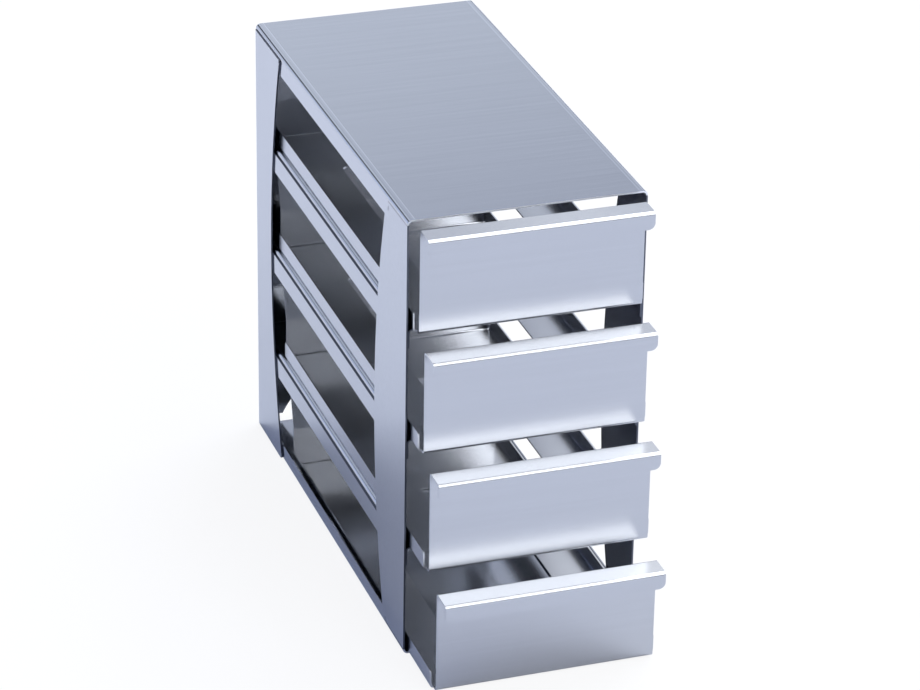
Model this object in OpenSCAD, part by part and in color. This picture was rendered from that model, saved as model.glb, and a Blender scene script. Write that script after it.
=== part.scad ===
// Freezer storage rack: a folded-sheet frame with pull-out drawers for cryogenic boxes.
// Origin at the centre of the base, +Z up, drawers open towards -Y.

/* [Sheet] */
// Thickness of the stainless sheet that every piece is folded from
sheet = 1; // [0.8:0.1:1.2]
// Outer radius of the long bends of the frame
frame_bend = 3; // [2.5:0.5:5]

/* [Frame] */
// Width over the two side panels
rack_w = 142; // [110:1:200]
// Depth from the front edges to the outer face of the back panel
rack_d = 303; // [240:1:500]
// Height of the rails between the windows
rail_h = 12.4; // [8:0.2:20]
// How far each window rail stays below the ledge behind it
rail_drop = 3.6; // [2.6:0.2:8]
// Height of the top rails, which fold down from the top cover
top_rail_h = 13.2; // [8:0.2:20]
// Height of the bottom rails, which fold up from the base plate
bottom_rail_h = 11.2; // [8:0.2:20]
// Distance from the front edges to the front ends of the top and bottom rails
rail_start = 35; // [10:1:38]
// Gap between the ends of a front post and the bends of the top and base
post_gap = 0.4; // [0.3:0.1:2]
// Width of a front post at its middle
front_post_w = 58; // [55:1:80]
// Width of a back post at its middle
back_post_w = 34; // [20:1:60]
// Radius of the long curved edges of the four posts
post_arc_r = 465; // [400:5:900]

/* [Back panel] */
// Height of the back panel's lower edge above the base
foot_gap = 1; // [0.2:0.1:3]
// Radius of the tips of the back posts
tip_r = 2; // [1:0.5:6]
// Radius of the back panel's lower rear corners
heel_r = 4; // [1:0.5:8]
// Radius of the arch cut into the foot of the back panel
arch_r = 62; // [40:1:66]
// Height of that arch above the base
arch_h = 39.5; // [20:0.5:50]
// Space between the base plate's rear edge and the back panel
base_back_gap = 3; // [2.5:0.5:20]

/* [Relief slots] */
// Width of the small relief slots at the front ends of the top and bottom rails
slot_w = 0.9; // [0.5:0.1:2]
// Height of the relief slots
slot_h = 2.7; // [1:0.1:6]
// Distance from the end of a front post down to its upper relief slot
slot_drop = 2.7; // [1:0.1:10]

/* [Runners] */
// Width of the ledge that a drawer slides on
ledge_w = 22; // [12:0.5:26]
// Height of the runner leg that is fixed to the side panel
runner_h = 12; // [8:0.5:16]
// Outer bend radius of a runner
runner_bend = 2.5; // [2:0.5:4]
// Space left behind a runner, in front of the back panel
runner_back_gap = 0.6; // [0.5:0.1:3]

/* [Drawers] */
// Clearance between a drawer front and the ledge above it
over_front = 4.3; // [0.6:0.1:30]
// Running clearance between a drawer and the ledges below it
slide_gap = 0.4; // [0.3:0.1:1]
// Clearance at each side of a drawer
side_gap = 1.5; // [0.4:0.1:2]
// Clearance between the top drawer's front and the top cover
head_gap = 1.3; // [0.4:0.1:3]
// Space from a closed drawer's rear wall to the back panel
back_room = 17.5; // [12:0.5:60]
// Height of a drawer front
front_h = 64.2; // [50:0.2:110]
// How far a drawer front is narrower than its tray, at each side
front_inset = 2.1; // [1.6:0.1:5]
// Height of a drawer's rear wall
rear_h = 60; // [40:0.5:62]
// How far the rear wall is narrower than the tray, at each side
rear_inset = 1.2; // [1.1:0.1:4]
// Height at which the rear wall starts to lean back
lean_z = 26; // [12:1:40]
// Angle of the leaning part of the rear wall
lean_angle = 15; // [5:1:18]
// Outer radius of the bend where the rear wall starts to lean
lean_bend = 3; // [2:0.5:6]
// Height of the upturned side flanges of a tray
flange_h = 11.5; // [8:0.5:20]
// Gap between the front face and the flanges' front ends
flange_front = 4.5; // [3:0.5:8]
// Gap between the rear wall's outer face and the flanges' rear ends
flange_back = 1.6; // [1:0.1:4]
// Corner radius of the flanges' upper ends
flange_corner_r = 1.5; // [0.5:0.5:4]
// Outer radius of the tray's bends
tray_bend = 2; // [1.5:0.5:3]
// Width of the floor left at each side of the tray's cut-out
floor_side = 27.5; // [15:0.5:38]
// Length of the floor left at the front and rear of the cut-out
floor_end = 54.5; // [30:0.5:80]
// Corner radius of the cut-out
cutout_r = 4; // [2:0.5:12]

/* [Pull lips] */
// How far a pull lip stands out from its drawer front
lip_out = 15.2; // [12:0.1:30]
// Height of the pull lip's front strip
lip_h = 10.4; // [8:0.2:25]
// Outer radius of the lip's bend
lip_bend = 2; // [2:0.5:5]
// Radius of the lip's lower corners
lip_corner_r = 4; // [2:0.5:6]

/* [Drawer positions] */
// How far the top drawer stands open
open_1 = 9; // [0:0.5:240]
// How far the second drawer stands open
open_2 = 20; // [0:0.5:240]
// How far the third drawer stands open
open_3 = 32; // [0:0.5:240]
// How far the bottom drawer stands open
open_4 = 47; // [0:0.5:240]

/* [Hidden] */
$fn = 48;
fine = 360;
open = [open_1, open_2, open_3, open_4];
levels = len(open);
front_y = -rack_d / 2;
back_y = rack_d / 2;
back_in = back_y - sheet;
rails_end = back_y - frame_bend - sheet / 2;
inner_w = rack_w - 2 * sheet;
drawer_pitch = slide_gap + front_h + over_front + sheet;
back_w = rack_w + 2 * sheet;
rack_h = 2 * sheet + (levels - 1) * drawer_pitch + slide_gap + front_h + head_gap;
mid_z = rack_h / 2;
posts_top = rack_h - frame_bend;
post_sag = post_arc_r - sqrt(pow(post_arc_r, 2) - pow(mid_z, 2));
windows_end = back_y - back_post_w + 3 * frame_bend;
drawer_w = inner_w - 2 * side_gap;
drawer_l = rack_d - sheet - back_room;
lean_h = (rear_h - lean_z - lean_bend * sin(lean_angle)) / cos(lean_angle);
satin_steel = [0.72, 0.74, 0.79];
drawer_steel = [0.78, 0.80, 0.84];
runner_steel = [0.62, 0.64, 0.69];

// Height of the ledge of level i, counted up from the base plate, which is level 0
function ledge_z(i) = sheet + i * drawer_pitch;

// Lower and upper edges of the side window of level i
function window_low(i) = i == 0 ? bottom_rail_h : ledge_z(i) - rail_drop;
function window_high(i) = i == levels - 1 ? rack_h - top_rail_h : ledge_z(i + 1) - rail_drop - rail_h;

// Extrudes an outline drawn as (x, z) along y
module along_y(y0, y1) {
    translate([0, y1, 0]) rotate([90, 0, 0]) linear_extrude(y1 - y0) children();
}

// Extrudes an outline drawn as (y, z) along x
module along_x(x0, x1) {
    translate([x0, 0, 0]) rotate([90, 0, 90]) linear_extrude(x1 - x0) children();
}

// Quarter bend of outer radius r, in the quadrant that starts at angle a
module bend(r, a) {
    rotate(a) intersection() {
        difference() {
            circle(r);
            circle(r - sheet);
        }
        square(r);
    }
}

// Web w wide with its outer face on the axis, and a bend of radius r at each end
module bent_web(w, r) {
    translate([r - w / 2, 0]) square([w - 2 * r, sheet]);
    for (s = [0, 1]) mirror([s, 0]) translate([w / 2 - r, r]) bend(r, 270);
}

// Two legs w apart over their outer faces, from height z0 to z1 above the axis
module legs(w, z0, z1) {
    for (s = [0, 1]) mirror([s, 0]) translate([w / 2 - sheet, z0]) square([sheet, z1 - z0]);
}

// Channel outline: a bent web with legs up to height h
module channel(w, h, r) {
    bent_web(w, r);
    legs(w, r, h);
}

// Rectangle from the origin with its two corners on the axis side rounded
module foot_rounded(w, h, r) {
    translate([0, r]) square([w, h - r]);
    translate([r, 0]) square([w - 2 * r, h]);
    for (x = [r, w - r]) translate([x, r]) circle(r);
}

// Rectangle centred on the origin with all corners rounded
module rounded(w, h, r) {
    square([w - 2 * r, h], center = true);
    square([w, h - 2 * r], center = true);
    for (x = [-1, 1], y = [-1, 1]) translate([x * (w / 2 - r), y * (h / 2 - r)]) circle(r);
}

// Disc whose rim, at mid height, is the curved edge of a post at depth y
module post_disc(y) {
    translate([y - post_arc_r, mid_z]) circle(post_arc_r, $fn = fine);
}

// Window of level i as (y, z): square at the back, bounded by the front post's curve in front
module window(i) {
    difference() {
        translate([front_y, window_low(i)]) square([windows_end - front_y, window_high(i) - window_low(i)]);
        post_disc(front_y + front_post_w);
    }
}

// Side panel as (y, z): the front post, and behind it the rails between the windows
module side_outline() {
    post_foot = frame_bend + post_gap;
    post_head = posts_top - post_gap;
    difference() {
        union() {
            translate([front_y, post_foot]) square([rail_start, post_head - post_foot]);
            translate([front_y, bottom_rail_h])
                square([rails_end - front_y, rack_h - top_rail_h - bottom_rail_h]);
        }
        for (z = [post_foot, post_head - slot_drop - slot_h])
            translate([front_y + rail_start - slot_w, z]) square([slot_w, slot_h]);
        for (i = [0 : levels - 1]) window(i);
    }
}

module side_panel(side) {
    color(satin_steel) mirror([side < 0 ? 1 : 0, 0, 0])
        along_x(rack_w / 2 - sheet, rack_w / 2) side_outline();
}

// Flat deck that ends at y1, with bent edges, and rails of height h that end at rails_y1
module deck(y1, rails_y1, h) {
    along_y(front_y, y1) bent_web(rack_w, frame_bend);
    along_y(front_y + rail_start, rails_y1) legs(rack_w, frame_bend, h);
}

module top_cover() {
    color(satin_steel) translate([0, 0, rack_h]) mirror([0, 0, 1]) deck(back_y, rails_end, top_rail_h);
}

module base_plate() {
    color(satin_steel) deck(back_in - base_back_gap, back_in - base_back_gap, bottom_rail_h);
}

// Cut that rounds the tip of a back post h above the middle of its curve, which is at the origin
module tip_cut(h) {
    z = h - tip_r;
    y = sqrt(pow(post_arc_r + tip_r, 2) - z * z) - post_arc_r;
    tangent_z = z * post_arc_r / (post_arc_r + tip_r);
    difference() {
        translate([y - 3 * tip_r, tangent_z]) square([3 * tip_r, h]);
        translate([y, z]) circle(tip_r);
    }
}

// Side view of the back panel as (y, z): curved front edge, rounded tips and heel
module back_side_view() {
    reach = back_post_w + post_sag;
    difference() {
        translate([back_y - reach, foot_gap]) square([reach, posts_top - foot_gap]);
        post_disc(back_y - back_post_w);
        translate([back_y - back_post_w, mid_z]) {
            tip_cut(posts_top - mid_z);
            mirror([0, 1]) tip_cut(mid_z - foot_gap);
        }
        translate([back_y - heel_r, foot_gap]) difference() {
            square(heel_r);
            translate([0, heel_r]) circle(heel_r);
        }
    }
}

// Arch in the foot of the back panel as (x, z), with the straight step up to the heels beside it
module arch() {
    step_w = back_w - 2 * frame_bend;
    translate([0, arch_h - arch_r]) circle(arch_r, $fn = fine);
    translate([-step_w / 2, 0]) square([step_w, foot_gap + heel_r]);
}

module back_panel() {
    tab_w = rack_w - 2 * (frame_bend + sheet);
    color(satin_steel) {
        difference() {
            intersection() {
                translate([0, back_y, 0]) mirror([0, 1, 0]) linear_extrude(posts_top)
                    channel(back_w, back_post_w + post_sag, frame_bend);
                along_x(-rack_w, rack_w) back_side_view();
            }
            along_y(back_in - sheet, back_y + sheet) arch();
        }
        translate([-tab_w / 2, back_in, posts_top - sheet]) cube([tab_w, sheet, frame_bend]);
    }
}

// Runner outline as (x, z): its outer corner at the origin, leg down and ledge inwards
module runner_outline() {
    translate([0, -runner_h]) square([sheet, runner_h - runner_bend]);
    translate([runner_bend, -runner_bend]) bend(runner_bend, 90);
    translate([runner_bend, -sheet]) square([ledge_w - runner_bend, sheet]);
}

// Runner of level i, on the left for side -1 and on the right for side 1
module runner(side, i) {
    color(runner_steel) mirror([side > 0 ? 1 : 0, 0, 0]) translate([-inner_w / 2, 0, ledge_z(i)])
        along_y(front_y, back_in - runner_back_gap) runner_outline();
}

// Lip, front and lower bend of a drawer as (y, z), with the front face on y = 0
module front_side_view() {
    translate([lip_bend - lip_out, front_h - lip_bend]) bend(lip_bend, 90);
    translate([lip_bend - lip_out, front_h - sheet]) square([lip_out - lip_bend + sheet - tray_bend, sheet]);
    translate([sheet - tray_bend, front_h - tray_bend]) bend(tray_bend, 0);
    translate([0, tray_bend]) square([sheet, front_h - 2 * tray_bend]);
    translate([tray_bend, tray_bend]) bend(tray_bend, 180);
    translate([tray_bend, 0]) square([flange_front, sheet]);
}

// Rear wall of a drawer as (y, z): bend, upright part and the part that leans back
module rear_side_view() {
    translate([drawer_l - flange_back - tray_bend, 0]) square([flange_back, sheet]);
    translate([drawer_l - tray_bend, tray_bend]) bend(tray_bend, 270);
    translate([drawer_l - sheet, tray_bend]) square([sheet, lean_z - tray_bend]);
    translate([drawer_l - sheet + lean_bend, lean_z]) {
        intersection() {
            difference() {
                circle(lean_bend);
                circle(lean_bend - sheet);
            }
            polygon([[0, 0], [-2 * lean_bend, 0], [-2 * lean_bend, 2 * lean_bend * tan(lean_angle)]]);
        }
        rotate(-lean_angle) translate([-lean_bend, 0]) square([sheet, lean_h]);
    }
}

// Floor and side flanges of a drawer, with the large cut-out in the floor
module tray() {
    tray_l = drawer_l - flange_front - flange_back;
    difference() {
        intersection() {
            along_y(flange_front, flange_front + tray_l) channel(drawer_w, flange_h, tray_bend);
            along_x(-drawer_w, drawer_w) translate([flange_front + tray_l, flange_h])
                rotate(180) foot_rounded(tray_l, 2 * flange_h, flange_corner_r);
        }
        translate([0, drawer_l / 2, -sheet]) linear_extrude(3 * sheet)
            rounded(drawer_w - 2 * floor_side, drawer_l - 2 * floor_end, cutout_r);
    }
}

// Drawer k, counted down from the top, at its opening
module drawer(k) {
    front_w = drawer_w - 2 * front_inset;
    rear_w = drawer_w - 2 * rear_inset;
    color(drawer_steel) translate([0, front_y - open[k - 1], ledge_z(levels - k) + slide_gap]) {
        along_x(-front_w / 2, front_w / 2) front_side_view();
        translate([-front_w / 2, 0, front_h - lip_h]) along_y(-lip_out, sheet - lip_out)
            foot_rounded(front_w, lip_h - lip_bend, lip_corner_r);
        tray();
        along_x(-rear_w / 2, rear_w / 2) rear_side_view();
    }
}

side_panel(-1);  // side_panel_left
side_panel(1);  // side_panel_right
top_cover();
base_plate();
back_panel();
runner(-1, 3);  // runner_left_1
runner(-1, 2);  // runner_left_2
runner(-1, 1);  // runner_left_3
runner(1, 3);  // runner_right_1
runner(1, 2);  // runner_right_2
runner(1, 1);  // runner_right_3
drawer(1);  // drawer_1
drawer(2);  // drawer_2
drawer(3);  // drawer_3
drawer(4);  // drawer_4
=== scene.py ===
"""Looks of a freezer storage rack: satin stainless sheet, a pale floor and soft studio light."""

import math

import bpy
from mathutils import Matrix, Vector

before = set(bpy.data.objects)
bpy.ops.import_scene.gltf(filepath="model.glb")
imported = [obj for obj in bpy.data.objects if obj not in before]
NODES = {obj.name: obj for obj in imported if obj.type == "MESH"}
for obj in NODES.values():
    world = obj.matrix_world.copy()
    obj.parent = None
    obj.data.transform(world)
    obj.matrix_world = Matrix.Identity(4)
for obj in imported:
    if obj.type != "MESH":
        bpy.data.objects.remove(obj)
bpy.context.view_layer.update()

WHITE = (1.0, 1.0, 1.0)
RIGHT_ANGLE = 90.0
FULL_TURN = 360.0

# Camera: the place that it looks from, in metres, and its turn, in degrees
CAMERA_PLACE = Vector((-0.6683, -1.9679, 1.1594))
CAMERA_AZIMUTH = 19.106
CAMERA_ELEVATION = 26.604
CAMERA_ROLL = -0.98
CAMERA_REACH = 50.0
FOCAL_LENGTH_PX = 3826.2
IMAGE_WIDTH_PX = 920
SENSOR_MM = 36.0

# Colours of the steel, as shares of red, green and blue
FRAME_COLOR = (0.583, 0.597, 0.625)
RUNNER_COLOR = (0.560, 0.573, 0.600)
DRAWER_COLOR = (0.597, 0.610, 0.637)

# Grain: streaks a metre along each axis, before they are multiplied for the two sizes of streak
GRAIN_ALONG_X = (1.0, 100.0, 100.0)
GRAIN_ALONG_Z = (100.0, 100.0, 1.0)
FINE_GRAIN = 24.0
BROAD_GRAIN = 5.0
GRAIN_DETAIL = 2.0
GRAIN_ROUGHNESS = 0.5
GRAIN_TURN = 0.25
# Clouds of tone: how many a metre, and how broken up they are
CLOUDS = 14.0
CLOUD_DETAIL = 3.0
CLOUD_ROUGHNESS = 0.55
# Shares of fine streaks, broad streaks and clouds in the tone of a sheet
TONE_SHARES = (0.3, 0.5, 0.2)
# Roughness that a sheet has less at its smoothest, and what fine streaks and clouds add to it
ROUGH_DROP = 0.02
ROUGH_FINE = 0.02
ROUGH_CLOUD = 0.03
BUMP_STRENGTH = 0.03
BUMP_DEPTH = 0.00002

# Painted highlight line beside each long bend of the cover and base, in metres from the middle outwards
HIGHLIGHT_LINE = (0.0661, 0.0666)
HIGHLIGHT_MIDDLE = 0.0664
PAINTED_LINE_EDGE = 0.0003
# Painted dark reflection line at the root of the same bends
DARK_REFLECTION_LINE = (0.0697, 0.0702)
# Brightness of the painted highlight line, of the painted lighter strip outside it and of the painted dark reflection
# line, as shares of the sheet's colour
HIGHLIGHT_TONE = 1.3
OUTSIDE_SHEEN_TONE = 1.05
DARK_REFLECTION_TONE = 0.4

# Cut faces: how square to an axis a face stands to count as one, their painted tones (painted shade, and a painted
# highlight on the deck's rim) and their added roughness
CUT_LIMIT = 0.6
CUT_PAINTED_SHADE = (0.13, 0.14, 0.17)
CUT_PAINTED_TONES = {"upright": CUT_PAINTED_SHADE, "wrapped": CUT_PAINTED_SHADE, "ends": CUT_PAINTED_SHADE, "rim": (0.94, 0.95, 0.97)}
CUT_ROUGHER = 0.25
# Distance from the middle beyond which only the wrapped sides of the back panel lie
WRAP_X = 0.0709

# Tray floors and lips, painted brighter as a sheen on the faces that look up: its colour, how much of it they have at
# least and by clouds
TOP_SHEEN_COLOR = (0.71, 0.715, 0.725)
TOP_SHEEN_LEAST = 0.55
TOP_SHEEN_BY_CLOUDS = 0.6

# Studio: colour of the room by height above the horizon, in degrees, behind the rack and before it
ROOM_BEHIND = (
    (0.0, (0.72, 0.78, 0.92)), (5.0, (0.60, 0.66, 0.78)), (8.5, (0.04, 0.05, 0.09)), (13.0, (0.04, 0.05, 0.09)),
    (16.0, (0.92, 1.00, 1.17)), (20.0, (0.75, 0.81, 0.95)), (22.5, (0.68, 0.74, 0.87)), (25.0, (0.52, 0.57, 0.70)),
    (29.0, (0.42, 0.46, 0.57)), (50.0, (0.42, 0.40, 0.38)), (66.0, (0.55, 0.60, 0.72)), (90.0, (0.80, 0.87, 1.00)),
)
ROOM_BEFORE = (
    (0.0, (0.05, 0.05, 0.07)), (10.0, (0.16, 0.15, 0.14)), (25.0, (0.46, 0.41, 0.38)), (45.0, (0.58, 0.52, 0.48)),
    (66.0, (0.50, 0.55, 0.66)), (90.0, (0.80, 0.87, 1.00)),
)
# Bluish room at the left, and the dark corner at the front left
ROOM_LEFT = (0.36, 0.54, 1.12)
ROOM_CORNER = (0.04, 0.04, 0.07)
# Where one part of the room gives way to another, as the direction's y, x and x again
BEFORE_TO_BEHIND = (-0.3, 0.3)
BEHIND_TO_LEFT = (-0.35, -0.75)
CORNER_TO_BEFORE = (-0.15, 0.15)
# Degrees by which the room behind rises for each degree of turn from +Y towards +X, and where it is level
ROOM_TILT = 0.3
LEVEL_TURN = 19.0
# Key panel: turn from +Y towards +X and height, both as lowest and highest degrees
KEY_TURNS = (30.0, 80.0)
KEY_HEIGHTS = (36.0, 74.0)
KEY_STRENGTH = 4.3
KEY_EDGE = 6.0
# Long panel overhead, from the rear right to the front right, as bounds of x and z of its direction
STRIP_X = (0.10, 0.54)
STRIP_Z = (0.24, 2.0)
# Bounds of y and brightness of its rear, middle and front parts
STRIP_PARTS = (((0.28, 0.79), 1.3), ((-0.42, 0.28), 1.35), ((-0.94, -0.42), 2.5))
STRIP_EDGE = 0.06
PANEL_COLOR = (0.97, 1.0, 1.06)

# Floor: half its width in metres, its colour as it is lit, and the brightness of the plain white mixed into it
FLOOR_HALF = 12.0
FLOOR_COLOR = (0.90, 0.93, 1.0)
FLOOR_WHITE = 1.05
# How much of that white the camera sees, and how much the steel does
WHITE_FOR_CAMERA = 0.85
WHITE_IN_METAL = 0.05


class Value:
    """A socket of a node graph, with the operators that build Math nodes."""

    def __init__(self, graph, socket):
        self.graph = graph
        self.socket = socket

    def math(self, operation, *others):
        """A Math node on this value and others."""
        return self.graph.node("ShaderNodeMath", {"operation": operation}, dict(enumerate((self, *others))))

    def __add__(self, other):
        return self.math("ADD", other)

    def __sub__(self, other):
        return self.math("SUBTRACT", other)

    def __rsub__(self, other):
        return self.graph.node("ShaderNodeMath", {"operation": "SUBTRACT"}, {0: other, 1: self})

    def __mul__(self, other):
        return self.math("MULTIPLY", other)

    __radd__ = __add__
    __rmul__ = __mul__


class Graph:
    """The node tree of a material or of the world."""

    def __init__(self, owner):
        owner.use_nodes = True
        self.tree = owner.node_tree
        self.tree.nodes.clear()

    def node(self, kind, settings=None, inputs=None, output=0):
        """Adds a node of a kind, sets its settings, fills or links its sockets, and gives an output or several."""
        made = self.tree.nodes.new(kind)
        for name, value in (settings or {}).items():
            if name == "stops":
                self.set_stops(made.color_ramp, value)
            else:
                setattr(made, name, value)
        for name, value in (inputs or {}).items():
            if isinstance(value, Value):
                self.tree.links.new(value.socket, made.inputs[name])
            else:
                made.inputs[name].default_value = value
        if not made.outputs:
            return None
        if isinstance(output, tuple):
            return [Value(self, made.outputs[each]) for each in output]
        return Value(self, made.outputs[output])

    @staticmethod
    def set_stops(ramp, stops):
        """Gives a colour ramp its stops, as pairs of a position and a colour."""
        while len(ramp.elements) < len(stops):
            ramp.elements.new(1.0)
        for element, (position, color) in zip(ramp.elements, stops):
            element.position = position
            element.color = rgba(color)

    def noise(self, point, scale, detail, roughness):
        """Noise from 0 to 1 with the given number of features a metre."""
        return self.node(
            "ShaderNodeTexNoise",
            {"noise_dimensions": "3D"},
            {"Vector": point, "Scale": scale, "Detail": detail, "Roughness": roughness},
        )

    def streaks(self, point, grain, size):
        """Noise drawn out into streaks of one size, by the streaks a metre along each axis."""
        stretched = self.node(
            "ShaderNodeVectorMath", {"operation": "MULTIPLY"}, {0: point, 1: tuple(g * size for g in grain)}
        )
        return self.noise(stretched, 1.0, GRAIN_DETAIL, GRAIN_ROUGHNESS)

    def mix(self, factor, first, second):
        """The mix of two colours, which are sockets 6 and 7 of the Mix node, with the result at output 2."""
        return self.node(
            "ShaderNodeMix",
            {"data_type": "RGBA", "blend_type": "MIX"},
            {0: factor, 6: first, 7: second},
            output=2,
        )

    def xyz(self, vector):
        """The three parts of a vector."""
        return self.node("ShaderNodeSeparateXYZ", None, {0: vector}, output=(0, 1, 2))

    def rise(self, value, start, end):
        """0 up to a start and 1 from an end on, with a smooth rise between them."""
        return self.node(
            "ShaderNodeMapRange",
            {"interpolation_type": "SMOOTHSTEP"},
            {"Value": value, "From Min": start, "From Max": end},
        )

    def band(self, value, low, high, edge):
        """1 between two values and 0 outside them, with soft edges."""
        over = self.rise(value, low - edge / 2, low + edge / 2)
        under = self.rise(value, high + edge / 2, high - edge / 2)
        return over * under


def rgba(color, share=1.0):
    """A colour, or a share of it, as four numbers."""
    return (*(c * share for c in color), 1.0)


def cut_faces(graph, point, normal, kind):
    """1 on the cut faces of a sheet and 0 on its rolled faces."""
    across, along, up = (part.math("ABSOLUTE") for part in graph.xyz(normal))
    if kind == "upright":
        return across.math("LESS_THAN", CUT_LIMIT)
    facing_along = along.math("GREATER_THAN", CUT_LIMIT)
    if kind == "wrapped":
        outside = graph.xyz(point)[0].math("ABSOLUTE").math("GREATER_THAN", WRAP_X)
        return (up.math("GREATER_THAN", CUT_LIMIT) + facing_along * outside).math("MINIMUM", 1.0)
    return facing_along


def satin_steel(name, color, grain, rough, streaks, stretch=0.0, cut=None, painted_bend_lines=False, sheen_on_tops=False):
    """Stainless sheet with a fine drawn grain and clouds of tone.

    It can have its own cut faces in painted tones, dark as painted shade and on the deck's rim bright as a painted
    highlight; a painted highlight line and a painted dark reflection line beside its long bends; and a painted sheen
    on its top faces.
    """
    material = bpy.data.materials.new(name)
    graph = Graph(material)
    normal, point = graph.node("ShaderNodeTexCoord", output=("Normal", "Object"))
    fine = graph.streaks(point, grain, FINE_GRAIN)
    broad = graph.streaks(point, grain, BROAD_GRAIN)
    cloud = graph.noise(point, CLOUDS, CLOUD_DETAIL, CLOUD_ROUGHNESS)
    by_fine, by_broad, by_cloud = TONE_SHARES
    level = fine * by_fine + broad * by_broad + cloud * by_cloud
    tone = graph.mix(level, rgba(color, 1.0 - streaks), rgba(color, 1.0 + streaks))
    roughness = rough - ROUGH_DROP + fine * ROUGH_FINE + cloud * ROUGH_CLOUD
    # Painted highlight line, painted lighter strip and painted dark reflection line beside the long bends
    if painted_bend_lines:
        aside = graph.xyz(point)[0].math("ABSOLUTE")
        tone = graph.mix(aside.math("GREATER_THAN", HIGHLIGHT_MIDDLE), tone, rgba(color, OUTSIDE_SHEEN_TONE))
        tone = graph.mix(graph.band(aside, *HIGHLIGHT_LINE, PAINTED_LINE_EDGE), tone, rgba(color, HIGHLIGHT_TONE))
        tone = graph.mix(graph.band(aside, *DARK_REFLECTION_LINE, PAINTED_LINE_EDGE), tone, rgba(color, DARK_REFLECTION_TONE))
    # Painted sheen: the faces that look up are painted brighter
    if sheen_on_tops:
        facing_up = graph.xyz(normal)[2].math("GREATER_THAN", CUT_LIMIT)
        tone = graph.mix(facing_up * (cloud * TOP_SHEEN_BY_CLOUDS + TOP_SHEEN_LEAST), tone, rgba(TOP_SHEEN_COLOR))
    # Cut faces painted dark as shade, and the deck's rim painted bright as a highlight
    if cut:
        faces = cut_faces(graph, point, normal, cut)
        tone = graph.mix(faces, tone, rgba(CUT_PAINTED_TONES[cut]))
        roughness = roughness + faces * CUT_ROUGHER
    bump = graph.node(
        "ShaderNodeBump", None, {"Strength": BUMP_STRENGTH, "Distance": BUMP_DEPTH, "Height": fine}
    )
    surface = graph.node(
        "ShaderNodeBsdfPrincipled",
        None,
        {
            "Base Color": tone,
            "Metallic": 1.0,
            "Anisotropic": stretch,
            "Anisotropic Rotation": GRAIN_TURN,
            "Roughness": roughness,
            "Normal": bump,
        },
    )
    graph.node("ShaderNodeOutputMaterial", None, {"Surface": surface})
    return material


def dress(starts, material):
    """Gives a material to the pieces whose names start with one of the given words."""
    for name, node in NODES.items():
        if name.startswith(starts):
            for slot in node.material_slots:
                slot.material = material


def camera_axes(azimuth, elevation, roll):
    """Right, up and backward directions of a camera that looks along +Y at azimuth 0."""
    a, e, r = (math.radians(v) for v in (azimuth, elevation, roll))
    forward = Vector((math.sin(a) * math.cos(e), math.cos(a) * math.cos(e), -math.sin(e)))
    level_right = Vector((math.cos(a), -math.sin(a), 0.0))
    level_down = forward.cross(level_right)
    right = math.cos(r) * level_right + math.sin(r) * level_down
    down = -math.sin(r) * level_right + math.cos(r) * level_down
    return right, -down, -forward


def add_camera():
    """The camera, at its place and turn."""
    data = bpy.data.cameras.new("camera")
    data.sensor_width = SENSOR_MM
    data.lens = FOCAL_LENGTH_PX / IMAGE_WIDTH_PX * SENSOR_MM
    data.clip_end = CAMERA_REACH
    camera = bpy.data.objects.new("camera", data)
    turn = Matrix(camera_axes(CAMERA_AZIMUTH, CAMERA_ELEVATION, CAMERA_ROLL)).transposed()
    camera.matrix_world = Matrix.Translation(CAMERA_PLACE) @ turn.to_4x4()
    bpy.context.scene.collection.objects.link(camera)
    bpy.context.scene.camera = camera


def room_color(graph, x, y, height, turn):
    """Colour of the room in a direction, without its panels."""
    tilted = height + (turn - LEVEL_TURN) * ROOM_TILT
    behind, before = (
        graph.node(
            "ShaderNodeValToRGB",
            {"stops": [(degrees / RIGHT_ANGLE, color) for degrees, color in room]},
            {"Fac": level * (1.0 / RIGHT_ANGLE)},
        )
        for room, level in ((ROOM_BEHIND, tilted), (ROOM_BEFORE, height))
    )
    behind = graph.mix(graph.rise(x, *BEHIND_TO_LEFT), behind, rgba(ROOM_LEFT))
    before = graph.mix(graph.rise(x, *CORNER_TO_BEFORE), rgba(ROOM_CORNER), before)
    return graph.mix(graph.rise(y, *BEFORE_TO_BEHIND), before, behind)


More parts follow.
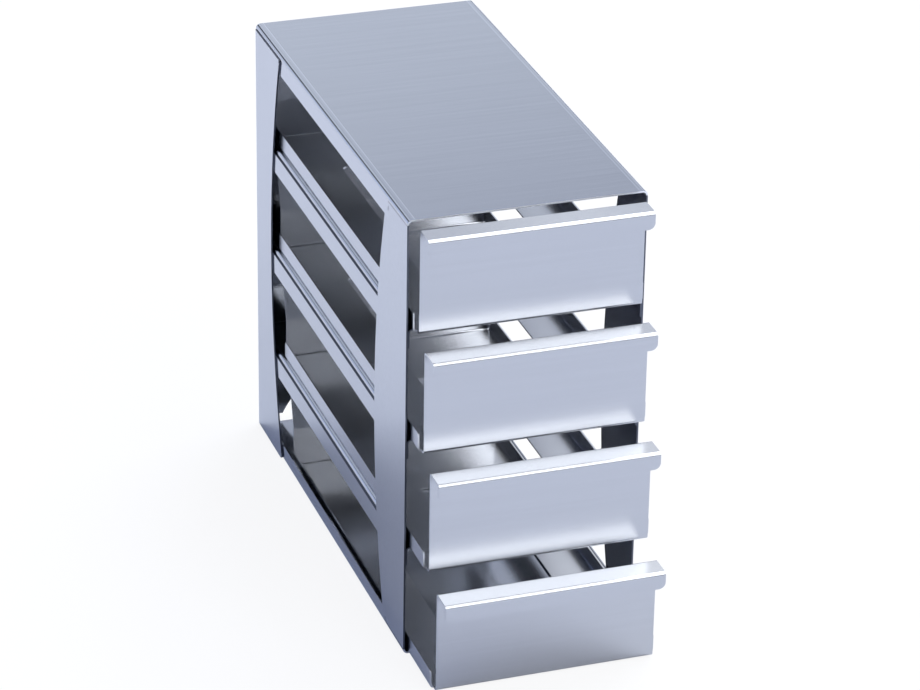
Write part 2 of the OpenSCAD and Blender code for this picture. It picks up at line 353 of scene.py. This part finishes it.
def add_world():
    """White for the camera; for the steel, a studio with dark and bright heights, a key panel and a long strip."""
    world = bpy.data.worlds.new("studio")
    bpy.context.scene.world = world
    graph = Graph(world)
    x, y, z = graph.xyz(graph.node("ShaderNodeTexCoord", output="Generated"))
    height = z.math("ARCSINE") * math.degrees(1.0)
    turn = x.math("ARCTAN2", y) * math.degrees(1.0)
    turn = turn + turn.math("LESS_THAN", -RIGHT_ANGLE) * FULL_TURN
    color = room_color(graph, x, y, height, turn)
    key = graph.band(turn, *KEY_TURNS, KEY_EDGE) * graph.band(height, *KEY_HEIGHTS, KEY_EDGE)
    strip = graph.band(x, *STRIP_X, STRIP_EDGE) * graph.band(z, *STRIP_Z, STRIP_EDGE)
    panels = [(strip * graph.band(y, *bounds, STRIP_EDGE), strength) for bounds, strength in STRIP_PARTS]
    for panel, strength in (*panels, (key, KEY_STRENGTH)):
        color = graph.mix(panel, color, rgba(PANEL_COLOR, strength))
    color = graph.mix(graph.node("ShaderNodeLightPath", output="Is Camera Ray"), color, rgba(WHITE))
    graph.node("ShaderNodeOutputWorld", None, {"Surface": graph.node("ShaderNodeBackground", None, {"Color": color})})


def add_floor():
    """A wide pale floor, white to the camera but for a soft shadow."""
    half = FLOOR_HALF
    mesh = bpy.data.meshes.new("floor")
    mesh.from_pydata([(-half, -half, 0), (half, -half, 0), (half, half, 0), (-half, half, 0)], [], [(0, 1, 2, 3)])
    floor = bpy.data.objects.new("floor", mesh)
    bpy.context.scene.collection.objects.link(floor)
    material = bpy.data.materials.new("pale_floor")
    graph = Graph(material)
    seen_by = ("Is Camera Ray", "Is Glossy Ray", "Is Transmission Ray")
    camera, glossy, transmitted = graph.node("ShaderNodeLightPath", output=seen_by)
    matte = graph.node("ShaderNodeBsdfDiffuse", None, {"Color": rgba(FLOOR_COLOR)})
    white = graph.node("ShaderNodeEmission", None, {"Color": rgba(WHITE), "Strength": FLOOR_WHITE})
    share = camera * WHITE_FOR_CAMERA + (glossy + transmitted) * WHITE_IN_METAL
    surface = graph.node("ShaderNodeMixShader", None, {0: share, 1: matte, 2: white})
    graph.node("ShaderNodeOutputMaterial", None, {"Surface": surface})
    mesh.materials.append(material)


# The deck sheet has the painted bend lines, and a painted highlight on its cut rim
dress(
    ("top_cover", "base_plate"),
    satin_steel("deck_sheet", FRAME_COLOR, GRAIN_ALONG_X, rough=0.11, streaks=0.12, cut="rim", painted_bend_lines=True),
)
# Side, back and runner sheets have painted shade on their cut faces
dress("side_panel_", satin_steel("side_sheet", FRAME_COLOR, GRAIN_ALONG_X, rough=0.11, streaks=0.12, cut="upright"))
dress("back_panel", satin_steel("back_sheet", FRAME_COLOR, GRAIN_ALONG_Z, rough=0.13, streaks=0.12, cut="wrapped"))
dress("runner_", satin_steel("runner_sheet", RUNNER_COLOR, GRAIN_ALONG_X, rough=0.09, streaks=0.08, cut="ends"))
# Drawer sheets have a painted sheen on the faces that look up
dress(
    "drawer_",
    satin_steel("drawer_sheet", DRAWER_COLOR, GRAIN_ALONG_X, rough=0.22, streaks=0.07, stretch=0.55, sheen_on_tops=True),
)

add_floor()
add_world()
add_camera()
bpy.context.scene.view_settings.view_transform = "Standard"
